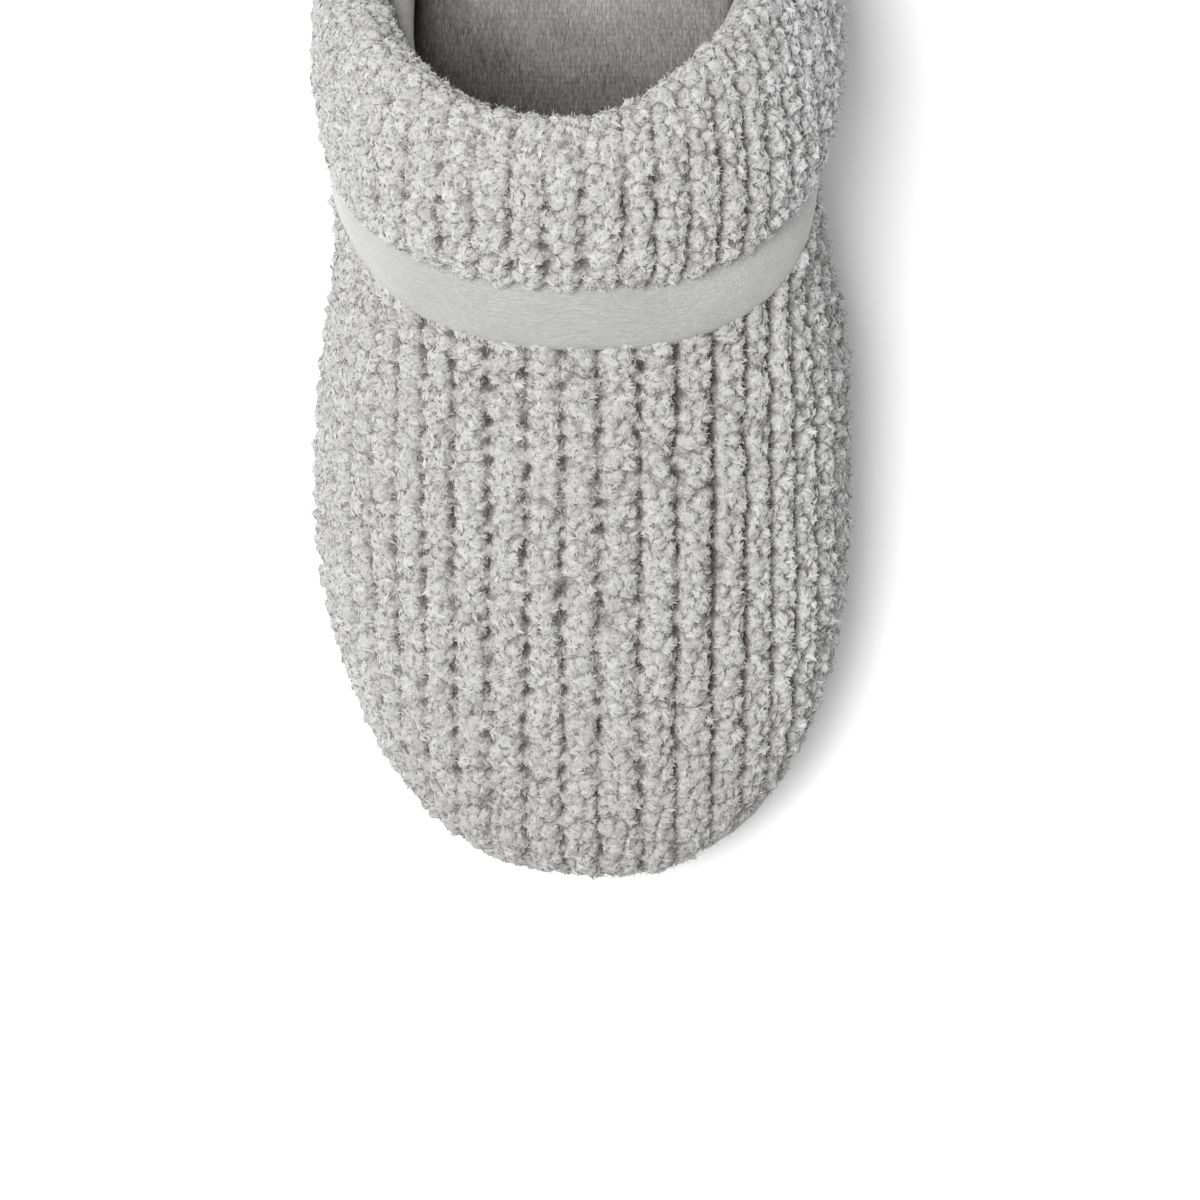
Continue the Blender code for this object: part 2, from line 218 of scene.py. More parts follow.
# grooves between the ribs, seen from above, in millimetres from the middle
grooves = {
    "vamp": (-48.8, -45.3, -41.1, -36.4, -31.0, -25.0, -18.1, -10.7, -3.6,
             3.6, 11.4, 18.8, 26.1, 32.3, 37.4, 42.2, 46.3, 50.0),
    "cuff": (-46.4, -43.5, -39.6, -33.7, -27.1, -20.5, -13.4, -6.6, 0.3,
             8.0, 14.3, 20.6, 26.6, 32.0, 36.6, 40.7, 44.1),
    "lowPitch": 6.3, "lowCount": 9,
}


# ribs counted round the section, a groove at every half; below the crest they go on evenly
def ribCount(across, places, station, outset):
    girth = np.linspace(-last["crestAt"], last["crestAt"], samples["grooves"])
    plan = lastPoint(station, girth, outset)[:, 0]
    reach = np.interp(places, plan, ribAcross(np.full(len(girth), station), girth))
    more = grooves["lowPitch"] * np.arange(1, grooves["lowCount"] + 1)
    reach = np.concatenate([reach[0] - more[::-1], reach, reach[-1] + more])
    return np.interp(across, reach, np.arange(len(reach)) + 0.5)


# chenille rib knit: tufted ribs, uneven pits between the stitches, troughs clearer on the big-toe side; the
# pit mark is painted dark later as painted shade, so its weighting by side also follows where light and shade
# fall
# a fade over the slipper is its least share, where it starts and where it ends
knit = {
    "ribRelief": 2.1, "ribMiddle": 0.62, "wander": 0.10, "wanderSize": (11.0, 3.6), "wideWander": 0.7,
    "grooveFrom": (0.6, 1.0), "stitchPitch": 5.0, "stitchSlant": 0.32, "stitchSwell": 0.20,
    "stitchDrift": 3.0, "driftSize": 8.0,
    "pitRelief": 1.7, "pitWidth": 0.11, "pitLong": 0.2, "pitLeast": 0.4, "lateralPits": (0.55, -44, -26),
    "trough": 0.75, "troughWidth": 0.09, "troughMean": 0.75, "troughUneven": 1.1, "unevenSize": 3.0,
    "medialTroughs": (0.3, 8, 30), "edgeSoft": 0.75, "edge": (42, 49),
    "toe": (-120, -76), "toeTroughs": 0.85, "toeRibs": 0.3, "lump": 0.5, "lumpSize": 2.8,
    "tuft": 2.6, "tuftRelief": 0.95, "tuftGap": 0.19, "tuftCorner": (0.02, 0.28),
    "gapDeep": 0.65, "cornerDeep": 0.8, "deepest": 1.2,
}


# nearest tuft centre, and how deep in the crevice between two tufts a point lies
def tufts(places):
    found = [noise.voronoi(p) for p in places / knit["tuft"]]
    centres = np.array([f[1][0] for f in found]) * knit["tuft"]
    far = np.array([f[0] for f in found])
    gap = 1 - ease(far[:, 1] - far[:, 0], 0.0, knit["tuftGap"])
    corner = 1 - ease(far[:, 2] - far[:, 0], *knit["tuftCorner"])
    return centres, np.clip(knit["gapDeep"] * gap + knit["cornerDeep"] * corner, 0, knit["deepest"])


def knitForm(places, ribAt, along, ribbed):
    x, y = places[:, 0], places[:, 1]
    wide, narrow = knit["wanderSize"]
    wander = knit["wideWander"] * softNoise(places, wide, 1) + softNoise(places, narrow, 6)
    ribAt = ribAt + knit["wander"] * wander
    along = along + knit["stitchDrift"] * softNoise(places, knit["driftSize"], 2)
    rib = np.floor(ribAt + 0.5)
    edge = np.abs(2 * (ribAt - rib))
    stitch = along / knit["stitchPitch"] + scatter(rib, 1) + knit["stitchSlant"] * edge
    swell = 1 - knit["stitchSwell"] + knit["stitchSwell"] * np.cos(2 * math.pi * stitch)
    bead = (1 - edge ** 3) * swell
    groove = np.floor(ribAt)
    aside = ribAt - groove - 0.5
    hole = along / knit["stitchPitch"] + scatter(groove, 2)
    key = groove * 13.7 + np.floor(hole + 0.5) * 3.3  # one number for each pit
    depth = knit["pitLeast"] + scatter(key, 5)
    # pits shallower on the little-toe side, where light falls; the painted shade of the pits follows
    depth *= easeUp(x, *knit["lateralPits"])
    opening = np.clip(np.cos(2 * math.pi * hole) + knit["pitLong"], 0, 1)
    pit = np.exp(-(aside / knit["pitWidth"]) ** 2) * opening * depth
    # troughs clearer on the big-toe side, where shade falls, and softer at its edge, where light falls; the
    # painted shade of the pits follows
    clear = easeUp(x, *knit["medialTroughs"]) * (1 - knit["edgeSoft"] * ease(x, *knit["edge"]))
    toe = 1 - ease(y, *knit["toe"])
    clear = clear * (1 - knit["toeTroughs"] * toe)
    ribbed = ribbed * (1 - knit["toeRibs"] * toe)
    trough = knit["trough"] * np.exp(-(aside / knit["troughWidth"]) ** 2) * clear
    uneven = knit["troughMean"] + knit["troughUneven"] * softNoise(places, knit["unevenSize"], 8)
    pit = np.clip(pit + trough * uneven, 0, 1) * ribbed
    crevice = tufts(places)[1]
    height = knit["ribRelief"] * (bead - knit["ribMiddle"]) * ribbed - knit["pitRelief"] * pit
    height += knit["lump"] * softNoise(places, knit["lumpSize"], 3) - knit["tuftRelief"] * crevice
    return height, {"pit": pit, "edge": edge, "crevice": crevice, "lean": np.sin(2 * math.pi * ribAt)}


def readVectors(items, name):
    flat = np.empty(len(items) * 3, np.float32)
    items.foreach_get(name, flat)
    return flat.reshape(-1, 3).astype(float)


def gridPanel(name, columns, rows):
    bpy.ops.mesh.primitive_grid_add(x_subdivisions=columns, y_subdivisions=rows, size=1)
    panel = bpy.context.active_object
    panel.name = name
    panel.data.name = name
    panel.data.uv_layers[0].name = "OFBake"
    flat = readVectors(panel.data.vertices, "co")
    return panel, flat[:, 0] + 0.5, flat[:, 1] + 0.5


def setPlaces(piece, places):
    piece.data.vertices.foreach_set("co", (places * mm).ravel())
    piece.data.update()


def getPlaces(piece):
    return readVectors(piece.data.vertices, "co") / mm


def getNormals(piece):
    return readVectors(piece.data.vertex_normals, "vector")


def setNumbers(piece, marks):
    for name, values in marks.items():
        made = piece.data.attributes.get(name) or piece.data.attributes.new(name, "FLOAT", "POINT")
        made.data.foreach_set("value", np.asarray(values, np.float32))


def getNumbers(piece, names):
    found = []
    for name in names:
        values = np.empty(len(piece.data.vertices), np.float32)
        piece.data.attributes[name].data.foreach_get("value", values)
        found.append(values.astype(float))
    return found


def editAll(piece):
    bpy.ops.object.select_all(action="DESELECT")
    piece.select_set(True)
    bpy.context.view_layer.objects.active = piece
    bpy.ops.object.mode_set(mode="EDIT")
    bpy.ops.mesh.select_all(action="SELECT")


# joins the points that meet; closed fills the open ends of a roll too
def weld(piece, closed=False):
    editAll(piece)
    bpy.ops.mesh.remove_doubles(threshold=weldGap)
    if closed:
        bpy.ops.mesh.select_all(action="SELECT")
        bpy.ops.mesh.fill_holes(sides=0)
    bpy.ops.mesh.normals_make_consistent(inside=False)
    bpy.ops.object.mode_set(mode="OBJECT")
    piece.data.shade_smooth()


# turns the faces away from a point, or towards it where side is -1
def faceAway(piece, point, side=1):
    outward = ((getPlaces(piece) - np.array(point)) * getNormals(piece)).sum()
    if side * outward < 0:
        editAll(piece)
        bpy.ops.mesh.flip_normals()
        bpy.ops.object.mode_set(mode="OBJECT")


def nodeMaterial(name, finish):
    material = bpy.data.materials.new(name)
    material.use_nodes = True
    tree = material.node_tree
    shader = tree.nodes["Principled BSDF"]
    for socket, value in finish.items():
        shader.inputs[socket].default_value = value
    return material, tree, shader


def objectPlace(tree):
    return tree.nodes.new("ShaderNodeTexCoord").outputs["Object"]


def ownMap(tree):
    lay = tree.nodes.new("ShaderNodeUVMap")
    lay.uv_map = "OFBake"
    return lay.outputs["UV"]


def addNoise(tree, place, scale, detail):
    made = tree.nodes.new("ShaderNodeTexNoise")
    made.inputs["Scale"].default_value = scale
    made.inputs["Detail"].default_value = detail
    tree.links.new(place, made.inputs["Vector"])
    return made


# a value times its share, with another value added if there is one
def addShare(tree, value, share, other=None):
    made = tree.nodes.new("ShaderNodeMath")
    made.operation = "MULTIPLY"
    made.inputs[1].default_value = share
    tree.links.new(value, made.inputs[0])
    if other is not None:
        made.operation = "MULTIPLY_ADD"
        tree.links.new(other, made.inputs[2])
    return made.outputs["Value"]


def addColours(tree, shader, value, stops):
    ramp = tree.nodes.new("ShaderNodeValToRGB")
    marks = ramp.color_ramp.elements
    for mark, (place, colour) in zip(marks, (stops[0], stops[-1])):
        mark.position = place
        mark.color = (*colour, 1)
    for place, colour in stops[1:-1]:
        marks.new(place).color = (*colour, 1)
    tree.links.new(value, ramp.inputs["Fac"])
    tree.links.new(ramp.outputs["Color"], shader.inputs["Base Color"])


def addBump(tree, shader, height, strength, depth):
    bump = tree.nodes.new("ShaderNodeBump")
    bump.inputs["Strength"].default_value = strength
    bump.inputs["Distance"].default_value = depth
    tree.links.new(height, bump.inputs["Height"])
    tree.links.new(bump.outputs["Normal"], shader.inputs["Normal"])


# greys of the chenille yarn, dark to light
marl = [
    (0.00, (0.060, 0.056, 0.052)),
    (0.30, (0.215, 0.206, 0.197)),
    (0.60, (0.446, 0.445, 0.442)),
    (0.85, (0.660, 0.660, 0.660)),
    (1.00, (0.800, 0.800, 0.800)),
]
# ground of the chenille, seen in the crevices between the tufts, darkened as painted shade in the pits, at
# the groove edges and in the crevices
backing = {
    "tone": 0.34, "pitPaintedShade": 0.50, "edgePaintedShade": 0.08, "crevicePaintedShade": 0.24, "toneRange": (-0.1, 0.95),
    "grain": (2200, 3), "grainShare": 0.5, "bump": (0.7, 0.0004),
    "finish": {"Roughness": 0.95, "Specular IOR Level": 0.15},
}


def backingMaterial():
    material, tree, shader = nodeMaterial("chenilleGround", backing["finish"])
    shade = tree.nodes.new("ShaderNodeAttribute")
    shade.attribute_name = "shade"
    grain = addNoise(tree, objectPlace(tree), *backing["grain"]).outputs["Fac"]
    addColours(tree, shader, addShare(tree, grain, backing["grainShare"], shade.outputs["Fac"]), marl)
    addBump(tree, shader, grain, *backing["bump"])
    return material


backingFinish = backingMaterial()


def shadeKnit(panel, marks):
    setNumbers(panel, marks)
    # painted shade: the ground darker in the pits, at the groove edges and in the crevices between the tufts
    tone = backing["tone"] - backing["pitPaintedShade"] * marks["pit"]
    tone = tone - backing["edgePaintedShade"] * ease(marks["edge"], *knit["grooveFrom"])
    tone = tone - backing["crevicePaintedShade"] * marks["crevice"]
    setNumbers(panel, {"shade": np.clip(tone, *backing["toneRange"])})


# vamp: one knit panel pulled over the toe, its back edge under the band
vamp = {
    "columns": 270, "rows": 190, "groovesAt": (68.0, 0.5), "evenRows": 0.35, "inside": (0, -60, 20),
    "underBand": 0.55, "free": (-1.6, 1.2), "soleFlat": 0.8, "soleEdge": (0.93, 1.0),
    "puff": 0.8, "puffUp": (-1.4, 0.2), "puffDown": (1.0, 5.0), "sidePuff": 0.9, "side": (0.3, 0.55),
    "hemDrawn": 0.3, "hem": (-2.2, -0.6), "pileFrom": (-1.4, -0.2), "soleBare": 0.5, "bareEdge": (0.96, 1.0),
    "medialFull": {"by": 0.1, "girth": (0.45, 0.75), "station": (26.0, 60.0)},
    "lateralDrawn": {"by": 1.1, "x": (-44, -12), "y": (-92, -55)},
    "sideDrawn": {"by": 1.3, "x": (37, 45), "y": (-48, -20), "toBand": (0.5, 6.0)},
    "tipFull": {"by": 1.3, "x": 14, "wide": 9, "y": (-124, -108)},
}


def makeVamp():
    panel, u, t = gridPanel("vampKnit", vamp["columns"], vamp["rows"])
    girth = 2 * u - 1
    edge = lineStation("bandEdge", girth)
    end = between((edge, lineStation("cuffEdge", girth)), vamp["underBand"])
    # rows evenly spaced along the ridge
    run = np.linspace(0, 1, samples["ridge"]) ** 2 * float(end[np.argmin(np.abs(girth))])
    arc = arcLength(lastPoint(run, 0.0, 0.0))
    station = end * (np.interp(t * arc[-1], arc, run) / run[-1])
    setPlaces(panel, lastPoint(station, girth, 0.0))
    medial, lateral, side, tip = [vamp[k] for k in ("medialFull", "lateralDrawn", "sideDrawn", "tipFull")]
    setNumbers(panel, {
        "ribAt": ribCount(ribAcross(station, girth), grooves["vamp"], *vamp["groovesAt"]),
        "along": t * arc[-1] * between((vamp["evenRows"], 1.0), end / run[-1]),
        "toBand": edge - station,
        "girth": np.abs(girth),
        "full": medial["by"] * ease(girth, *medial["girth"]) * (1 - ease(station, *medial["station"])),
    })
    weld(panel)
    faceAway(panel, vamp["inside"])
    places, normals = getPlaces(panel), getNormals(panel)
    ribAt, along, toBand, reach, full = getNumbers(panel, ("ribAt", "along", "toBand", "girth", "full"))
    height, marks = knitForm(places, ribAt, along, 1.0)
    free = ease(toBand, *vamp["free"]) * (1 - vamp["soleFlat"] * ease(reach, *vamp["soleEdge"]))
    # the knit puffs up where the band is sewn on
    seam = fadeEnds(toBand, vamp["puffUp"], vamp["puffDown"])
    puff = vamp["puff"] * (1 + vamp["sidePuff"] * ease(reach, *vamp["side"]))
    height = height * free + puff * seam - vamp["hemDrawn"] * (1 - ease(toBand, *vamp["hem"])) + full
    x, y = places[:, 0], places[:, 1]
    height -= lateral["by"] * (1 - ease(x, *lateral["x"])) * (1 - ease(y, *lateral["y"]))
    height -= side["by"] * ease(-x, *side["x"]) * ease(y, *side["y"]) * ease(toBand, *side["toBand"])
    height += tip["by"] * np.exp(-((x - tip["x"]) / tip["wide"]) ** 2) * (1 - ease(y, *tip["y"]))
    setPlaces(panel, places + normals * height[:, None])
    marks["pit"] = marks["pit"] * free
    bare = vamp["soleBare"] * ease(reach, *vamp["bareEdge"])
    marks["keep"] = ease(toBand, *vamp["pileFrom"]) * (1 - bare)
    shadeKnit(panel, marks)
    panel.data.materials.append(backingFinish)
    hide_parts("upper")
    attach(panel, "root")
    return panel, places


vampPanel, vampFlat = makeVamp()
print("vamp knit", len(vampPanel.data.polygons))

# cuff: share of the way up from its free edge, reach past the rim, height off the upper
cuff = {
    "columns": 380, "rows": 84, "groovesAt": (128.0, 7.5), "profileSize": (30.0, 1.0, 1.0),
    "profile": [
        (0.10, 0.0, 0.4), (0.03, 0.0, 0.9), (0.01, 0.0, 2.4), (0.01, 0.0, 4.4), (0.10, 0.0, 6.4),
        (0.30, 0.0, 7.7), (0.55, 0.0, 8.0), (0.78, 0.0, 7.3), (0.94, 0.0, 6.0),
        (1.00, 2.9, 3.6), (1.00, 4.4, 0.6), (1.00, 4.2, -2.2), (1.00, 2.4, -4.0), (1.00, 0.4, -3.6),
    ],
    "taper": 0.7, "taperAhead": 0.1, "relief": 0.85, "soleFlat": 0.6, "soleEdge": (0.95, 1.0),
    "ribbed": 0.95, "rimSmooth": 0.75, "rimFrom": (0.42, 0.66), "lateral": (0.35, 0.6),
    "lateralFull": 0.25, "fullFrom": (0.5, 0.95), "lateralDrawn": 0.2, "drawnTo": (0.05, 0.55),
    "shown": ((0.0, 0.06), (0.93, 1.0)), "pile": ((0.03, 0.09), (0.92, 0.98)), "core": (0.5, 1.0, 2.0),
}


# smooth run through the profile's points, even in arc length
def alongProfile(rows, t, sizes):
    rows = np.array(rows, float)
    ends = np.concatenate([rows[:1] * 2 - rows[1:2], rows, rows[-1:] * 2 - rows[-2:-1]])
    w = np.linspace(0, 1, samples["profile"], endpoint=False)[:, None]
    dense = []
    for i in range(len(rows) - 1):
        p0, p1, p2, p3 = ends[i:i + 4]
        dense.append(0.5 * (2 * p1 + (p2 - p0) * w + (2 * p0 - 5 * p1 + 4 * p2 - p3) * w ** 2
                            + (3 * p1 - p0 - 3 * p2 + p3) * w ** 3))
    dense = np.concatenate(dense + [rows[-1:]])
    arc = arcLength(dense * np.array(sizes))
    place = t * arc[-1]
    return [np.interp(place, arc, dense[:, k]) for k in range(rows.shape[1])] + [place]


def tapered(height, girth):
    drawn = 1 - cuff["taper"] * ease(np.abs(girth), last["crestAt"] - cuff["taperAhead"], 1.0)
    return np.where(height <= last["gap"], height, last["gap"] + (height - last["gap"]) * drawn)


def makeCuff():
    panel, u, t = gridPanel("cuffKnit", cuff["columns"], cuff["rows"])
    girth = 2 * u - 1
    share, past, height, along = alongProfile(cuff["profile"], t, cuff["profileSize"])
    ends = lineStation("cuffEdge", girth), lineStation("rim", girth)
    station = between(ends, share) + past
    lateral = ease(-girth, *cuff["lateral"])
    fuller = cuff["lateralFull"] * ease(share, *cuff["fullFrom"])
    fuller = fuller - cuff["lateralDrawn"] * (1 - ease(share, *cuff["drawnTo"]))
    height = np.where(height > 0, height * (1 + lateral * fuller), height)
    places = lastPoint(station, girth, tapered(height, girth))
    setPlaces(panel, places)
    panel.data.shade_smooth()
    coreShare, corePast, coreHeight = cuff["core"]
    faceAway(panel, lastPoint(between(ends, coreShare) + corePast, girth, coreHeight))
    normals = getNormals(panel)
    ribAt = ribCount(ribAcross(station, girth), grooves["cuff"], *cuff["groovesAt"])
    ribbed = cuff["ribbed"] * (1 - cuff["rimSmooth"] * ease(t, *cuff["rimFrom"]))
    form, marks = knitForm(places, ribAt, along, ribbed)
    shown = fadeEnds(t, *cuff["shown"])
    form *= cuff["relief"]
    form = form * shown * (1 - cuff["soleFlat"] * ease(np.abs(girth), *cuff["soleEdge"]))
    setPlaces(panel, places + normals * form[:, None])
    marks["pit"] = marks["pit"] * shown
    marks["keep"] = fadeEnds(t, *cuff["pile"])
    shadeKnit(panel, marks)
    panel.data.materials.append(backingFinish)
    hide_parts("cuff")
    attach(panel, "root")
    return panel, places


cuffPanel, cuffFlat = makeCuff()
print("cuff knit", len(cuffPanel.data.polygons))

# pile of the chenille yarn: wisps by half length, half width and height, and their place on the marl
pile = {
    "density": 1.55, "most": 32600, "pitBare": 0.92, "edgeBare": 0.2, "creviceBare": 0.55,
    "size": (0.92, 0.36, 0.28), "grow": (0.6, 1.35), "pitShort": 0.2,
    "back": (0.7, 1.1), "slide": (-0.3, 0.3), "side": (0.7, 1.3), "tip": (0.8, 1.4), "tipStray": 0.25,
    "tipRise": (-0.4, 0.8), "sunk": 0.3, "lift": (-0.05, 0.25), "creviceLow": 0.6,
    # tone added at root, left, tip, right and middle of each wisp: painted shade darker at the root
    "wispRootShade": (-0.10, -0.03, 0.015, -0.03, 0.0), "wispMap": (0.05, 0.4, 0.95, 0.6, 0.5), "mapEdge": 0.02,
    "round": 0.55, "ruffle": 0.08, "gather": 0.2, "radial": 1.6, "lean": 0.5, "bunch": 0.9, "loose": 0.45,
    "soft": 0.88, "skyward": 0.7,
    # one yarn on vamp and cuff: the cuff's tone is set lighter than the vamp's as painted light
    "vampTone": 0.579, "cuffTone": 0.598, "bunchTone": 0.07, "toneStray": 0.025,
    # painted shade: tufts darker in the pits, at the groove edges, in the crevices (less on the little-toe
    # side) and towards the toe; painted light on the little-toe flank and the big-toe flank, most on the
    # cuff's big-toe side
    "pitPaintedShade": 0.37, "edgePaintedShade": 0.07, "crevicePaintedShade": 0.145, "creviceShadeSide": (0.6, -45, -15),
    "lateralPaintedLight": 0.012, "lateral": (22, 46), "toePaintedShade": 0.045, "toe": (-120, -85),
    "medialPaintedLight": 0.11, "medial": (28, 51), "cuffMedialPaintedLight": 0.20, "cuffStart": (-15, 15),
    "grain": (4200, 2), "bump": (0.5, 0.0003),
    "finish": {"Roughness": 0.9, "Specular IOR Level": 0.15, "Sheen Weight": 0.5, "Sheen Roughness": 0.5},
}
# loose fibre ends over the tufts, and dark marl strands, most of them put in the crevices and pits as painted
# shade
fuzz = {
    "density": 2.6, "most": 58000, "pitBare": 0.4, "edgeBare": 0.2, "creviceBare": 0.55,
    "length": 1.1, "lengths": (0.6, 1.3), "pitShort": 0.4, "width": 0.14, "widths": (0.7, 1.3), "bow": 0.22,
    "stand": 0.4, "lift": 0.25, "tone": 0.63, "toneStray": 0.05, "pitPaintedShade": 0.25,
    "bladeRootShade": (-0.02, 0, 0.02, 0), "bladeMap": (0.1, 0.4, 0.9, 0.6),
    "dark": 0.92, "darkCreviceShade": (0.12, 0.05, 0.45), "darkPitShade": (0.15, 0.4), "darkStray": 0.3,
    "darkTone": (0.05, 0.33), "darkLift": 0.34,
}
wispFaces = np.array([(0, 3, 4), (3, 2, 4), (2, 1, 4), (1, 0, 4), (0, 1, 2), (0, 2, 3)])


def pileMaterial():
    material, tree, shader = nodeMaterial("chenillePile", pile["finish"])
    split = tree.nodes.new("ShaderNodeSeparateXYZ")
    tree.links.new(ownMap(tree), split.inputs["Vector"])
    addColours(tree, shader, split.outputs["X"], marl)
    grain = addNoise(tree, objectPlace(tree), *pile["grain"])
    addBump(tree, shader, grain.outputs["Fac"], *pile["bump"])
    return material


pileFinish = pileMaterial()


def meshFrom(name, corners, faces, spots):
    mesh = bpy.data.meshes.new(name)
    size = faces.shape[1]
    mesh.vertices.add(len(corners))
    mesh.vertices.foreach_set("co", (corners * mm).ravel())
    mesh.loops.add(faces.size)
    mesh.loops.foreach_set("vertex_index", faces.astype(np.int32).ravel())
    mesh.polygons.add(len(faces))
    mesh.polygons.foreach_set("loop_start", np.arange(0, faces.size, size, dtype=np.int32))
    mesh.polygons.foreach_set("loop_total", np.full(len(faces), size, dtype=np.int32))
    lay = mesh.uv_layers.new(name="OFBake")
    spots = np.clip(spots, pile["mapEdge"], 1 - pile["mapEdge"])
    lay.uv.foreach_set("vector", spots[faces.ravel()].ravel().astype(np.float32))
    mesh.update(calc_edges=True)
    mesh.validate()
    mesh.materials.append(pileFinish)
    piece = bpy.data.objects.new(name, mesh)
    scene.collection.objects.link(piece)
    return piece


# tufts of cut yarn as one mesh of small closed wisps: root, left, tip, right and a raised middle
def makeTufts(name, roots, up, soft, ways, sizes, tones):
    count = len(roots)
    across = unit(np.cross(up, ways))
    ways = np.cross(across, up)
    long, wide, high = sizes

    def vary(part):
        return rng.uniform(*pile[part], (count, 1))

    corners = np.empty((count, 5, 3))
    corners[:, 0] = roots - ways * long * vary("back") - up * high * pile["sunk"]
    corners[:, 1] = roots + ways * long * vary("slide") + across * wide * vary("side")
    tip = roots + ways * long * vary("tip") + across * long * rng.normal(0, pile["tipStray"], (count, 1))
    corners[:, 2] = tip + up * high * vary("tipRise")
    corners[:, 3] = roots + ways * long * vary("slide") - across * wide * vary("side")
    corners[:, 4] = roots + ways * long * vary("slide") + up * high
    corners[:, (1, 3)] -= (up * high * pile["sunk"])[:, None]
    # across the map: how light the yarn is, with painted shade darker towards the root
    spots = np.empty((count, 5, 2))
    spots[:, :, 0] = tones[:, None] + np.array(pile["wispRootShade"])
    spots[:, :, 1] = pile["wispMap"]
    faces = (wispFaces[None] + 5 * np.arange(count)[:, None, None]).reshape(-1, 3)
    piece = meshFrom(name, corners.reshape(-1, 3), faces, spots.reshape(-1, 2))
    piece.data.shade_smooth()
    # shaded as one soft surface
    fluffy = unit(getNormals(piece)).reshape(count, 5, 3) * (1 - pile["soft"]) + soft[:, None] * pile["soft"]
    loops = fluffy[:, wispFaces]
    loops[:, 4:] = -up[:, None, None]
    piece.data.normals_split_custom_set(unit(loops.reshape(-1, 3)).tolist())
    return piece


# each fibre a slim blade
def makeFuzz(name, roots, ways, lengths, widths, tones):
    count = len(roots)
    across = unit(np.cross(ways, rng.normal(size=(count, 3))))
    bow = np.cross(ways, across) * (lengths * rng.normal(0, fuzz["bow"], count))[:, None]
    half = across * (widths / 2)[:, None]
    middle = roots + ways * (lengths * 0.5)[:, None] + bow
    tips = roots + ways * lengths[:, None]
    corners = np.stack([roots, middle - half, tips, middle + half], 1).reshape(-1, 3)
    spots = np.empty((count, 4, 2))
    # painted shade: each blade a little darker at the root, a little lighter at the tip
    spots[:, :, 0] = tones[:, None] + np.array(fuzz["bladeRootShade"])
    spots[:, :, 1] = fuzz["bladeMap"]
    return meshFrom(name, corners, np.arange(4 * count).reshape(-1, 4), spots.reshape(-1, 2))


# picks points all over a knit panel, fewer in the pits
def pickPoints(panel, flat, look, times):
    mesh = panel.data
    mesh.calc_loop_triangles()
    corners = np.empty(len(mesh.loop_triangles) * 3, np.int32)
    mesh.loop_triangles.foreach_get("vertices", corners)
    corners = corners.reshape(-1, 3)
    places, normals = getPlaces(panel), getNormals(panel)
    keep, pit, edge, crevice, lean = getNumbers(panel, ("keep", "pit", "edge", "crevice", "lean"))
    a, b, c = places[corners[:, 0]], places[corners[:, 1]], places[corners[:, 2]]
    area = np.linalg.norm(np.cross(b - a, c - a), axis=1) / 2
    want = keep * (1 - look["pitBare"] * pit) * (1 - look["edgeBare"] * edge ** 4)
    want = want * (1 - look["creviceBare"] * crevice)
    weight = area * want[corners].mean(1)
    count = int(min(weight.sum() * look["density"] * times, look["most"]) * thin)
    chosen = corners[rng.choice(len(corners), count, p=weight / weight.sum())]
    one, two = rng.random(count), rng.random(count)
    flip = one + two > 1
    one[flip], two[flip] = 1 - one[flip], 1 - two[flip]
    mix = np.stack([1 - one - two, one, two], 1)
    found = [(v[chosen] * mix[:, :, None]).sum(1) for v in (places, normals, flat)]
    return found + [(v[chosen] * mix).sum(1) for v in (pit, ease(edge, *knit["grooveFrom"]), lean)]


# lays a wisp on each point: they fan out from the middle of each bunch and lean into the grooves
def growTufts(name, panel, flat, times, tone):
    roots, up, ground, deep, aside, lean = pickPoints(panel, flat, pile, times)
    count = len(roots)
    centres, crevice = tufts(ground)
    off = ground - centres
    off -= up * (off * up).sum(1, keepdims=True)
    key = centres[:, 0] * 3.1 + centres[:, 1] * 7.7 + centres[:, 2] * 1.9  # one number for each bunch
    bunch = np.stack([scatter(key, seed) - 0.5 for seed in (7, 8, 9)], 1)
    sideways = np.cross(np.array([0.0, 1.0, 0.0]), up)
    ways = (pile["radial"] * off / knit["tuft"] + pile["lean"] * lean[:, None] * sideways
            + pile["bunch"] * bunch + rng.normal(0, pile["loose"], (count, 3)))
    roots = roots - pile["gather"] * off
    up = unit(up + pile["round"] * off / knit["tuft"] + rng.normal(0, pile["ruffle"], (count, 3)))
    soft = unit(up + np.array([0, 0, pile["skyward"]]))
    grow = rng.uniform(*pile["grow"], (count, 1)) * (1 - pile["pitShort"] * deep)[:, None]
    sizes = [size * grow for size in pile["size"]]
    x, y = roots[:, 0], roots[:, 1]
    tones = tone + pile["bunchTone"] * bunch[:, 0] + rng.normal(0, pile["toneStray"], count)
    # painted shade in the pits, at the groove edges and in the crevices, weaker on the little-toe side;
    # painted shade towards the toe and painted light on the little-toe flank
    tones = tones - pile["pitPaintedShade"] * deep - pile["edgePaintedShade"] * aside
    tones -= pile["crevicePaintedShade"] * crevice * easeUp(x, *pile["creviceShadeSide"])
    tones += pile["lateralPaintedLight"] * ease(-x, *pile["lateral"]) - pile["toePaintedShade"] * (1 - ease(y, *pile["toe"]))
    # painted light on the big-toe flank, stronger on the cuff
    medialPaintedLight = pile["medialPaintedLight"] + pile["cuffMedialPaintedLight"] * ease(y, *pile["cuffStart"])
    tones += medialPaintedLight * ease(x, *pile["medial"])
    lift = rng.uniform(*pile["lift"], count) * (1 - pile["creviceLow"] * crevice)
    return makeTufts(name, roots + up * lift[:, None], up, soft, ways, sizes, tones)


